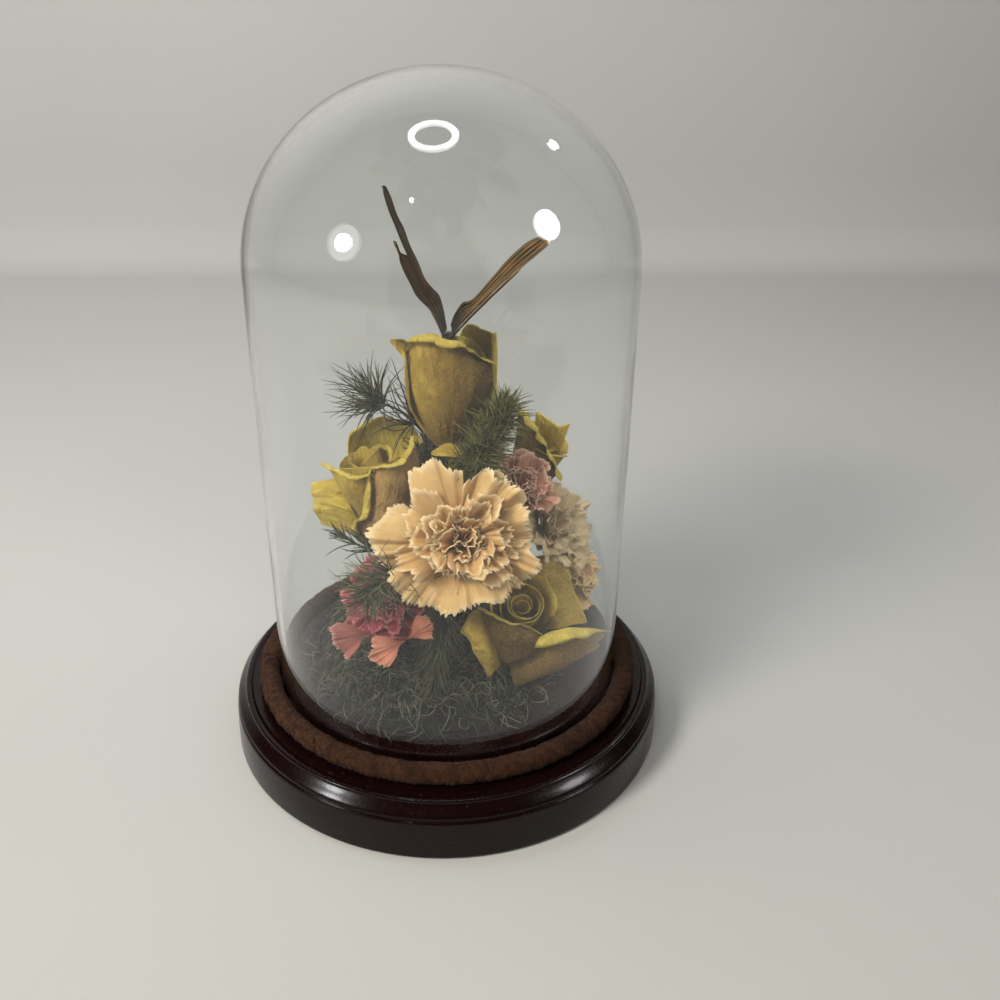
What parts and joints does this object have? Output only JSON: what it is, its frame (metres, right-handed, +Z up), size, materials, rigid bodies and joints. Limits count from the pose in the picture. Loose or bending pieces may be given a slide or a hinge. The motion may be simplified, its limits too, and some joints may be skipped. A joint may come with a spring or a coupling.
{
  "type": "butterfly and dried flower bouquet in a glass dome",
  "caption": "Butterfly on a bouquet of dried roses, carnations, fern and moss, kept dust free under a clear glass dome on a turned, lacquered wood base with a brown cord trim.",
  "frame": {"origin": "centre of the base's underside, on the surface that it stands on", "axes": "+Z up along the dome's axis, -Y towards the front of the bouquet, +X to the right seen from the front"},
  "size_m": [0.179, 0.179, 0.2609],
  "materials": {
    "lacquered_wood": "dark satin lacquer",
    "brown_cord": "matt, creased and fuzzy",
    "clear_glass": "clear and polished",
    "dried_moss": "matt fibres",
    "dried_fern": "matt needles",
    "dried_stem": "matt",
    "yellow_rose_petal": "matt, papery, tan on the outside",
    "cream_petal": "matt and papery",
    "beige_petal": "matt and papery",
    "dusty_pink_petal": "matt and papery",
    "raspberry_petal": "matt and papery",
    "salmon_petal": "matt and papery",
    "insect_body": "matt, downy",
    "butterfly_wing": "matt scales"
  },
  "bodies": {
    "root": {"base": "lacquered_wood", "trim_cord": "brown_cord", "glass_dome": "clear_glass", "moss_mound": "dried_moss", "top_rose_heart": "yellow_rose_petal", "top_rose_petal_1": "yellow_rose_petal", "top_rose_petal_2": "yellow_rose_petal", "top_rose_petal_3": "yellow_rose_petal", "top_rose_petal_4": "yellow_rose_petal", "top_rose_stem": "dried_stem", "left_rose_heart": "yellow_rose_petal", "left_rose_petal_1": "yellow_rose_petal", "left_rose_petal_2": "yellow_rose_petal", "left_rose_petal_3": "yellow_rose_petal", "left_rose_petal_4": "yellow_rose_petal", "left_rose_petal_5": "yellow_rose_petal", "left_rose_petal_6": "yellow_rose_petal", "left_rose_stem": "dried_stem", "front_rose_heart": "yellow_rose_petal", "front_rose_petal_1": "yellow_rose_petal", "front_rose_petal_2": "yellow_rose_petal", "front_rose_petal_3": "yellow_rose_petal", "front_rose_petal_4": "yellow_rose_petal", "front_rose_petal_5": "yellow_rose_petal", "front_rose_petal_6": "yellow_rose_petal", "front_rose_stem": "dried_stem", "back_rose_heart": "yellow_rose_petal", "back_rose_petal_1": "yellow_rose_petal", "back_rose_petal_2": "yellow_rose_petal", "back_rose_petal_3": "yellow_rose_petal", "back_rose_petal_4": "yellow_rose_petal", "back_rose_stem": "dried_stem", "front_carnation": "cream_petal", "front_carnation_stem": "dried_stem", "pink_bloom": "dusty_pink_petal", "pink_bloom_stem": "dried_stem", "beige_carnation": "beige_petal", "beige_carnation_stem": "dried_stem", "peach_carnation": "cream_petal", "peach_carnation_stem": "dried_stem", "red_bloom": "raspberry_petal", "red_bloom_stem": "dried_stem", "fern_upper_left": "dried_fern", "fern_upper_right": "dried_fern", "fern_middle_left": "dried_fern", "fern_lower_left": "dried_fern", "fern_front": "dried_fern", "fern_back": "dried_fern", "loose_yellow_petal": "yellow_rose_petal", "loose_salmon_petal": "salmon_petal", "loose_pink_petal": "dusty_pink_petal", "butterfly_body": "insect_body", "forewing_left": "butterfly_wing", "hindwing_left": "butterfly_wing", "forewing_right": "butterfly_wing", "hindwing_right": "butterfly_wing"}
  },
  "joints": []
}
